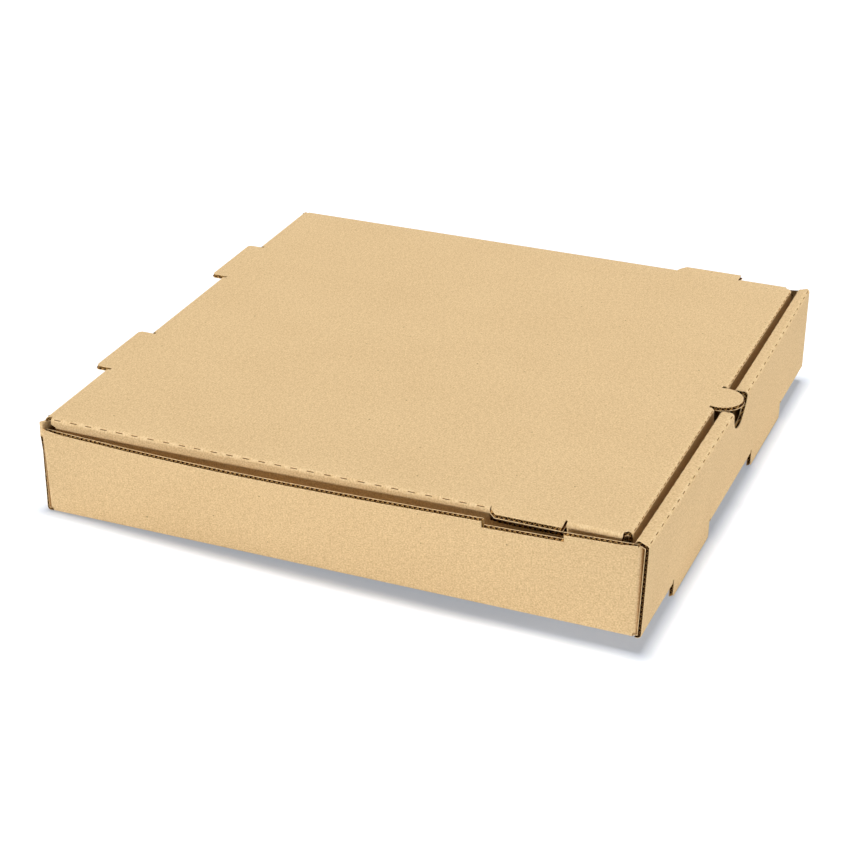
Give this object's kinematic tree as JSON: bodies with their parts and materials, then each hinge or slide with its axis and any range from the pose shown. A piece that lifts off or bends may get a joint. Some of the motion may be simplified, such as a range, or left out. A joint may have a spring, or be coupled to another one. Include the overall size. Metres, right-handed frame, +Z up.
{
  "type": "pizza box",
  "caption": "Closed square pizza box of plain brown corrugated board: a tray with a roll-over front wall and a lid hinged at the back.",
  "frame": {"origin": "centre of the floor's underside", "axes": "+Z up, out of the floor; +Y from the roll-over front wall towards the lid's hinge; +X to the right seen from the front"},
  "size_m": [0.321, 0.3261, 0.059],
  "materials": {
    "kraft_board": "matte brown kraft liner with fine fibres"
  },
  "bodies": {
    "tray": {"tray": "kraft_board"},
    "lid": {"lid": "kraft_board"}
  },
  "joints": [
    {"name": "lid_hinge", "type": "hinge", "parent": "tray", "child": "lid", "pos_m": [0, 0.1577, 0.0489], "axis": [-1, 0, 0], "range_deg": [0, 180]}
  ]
}
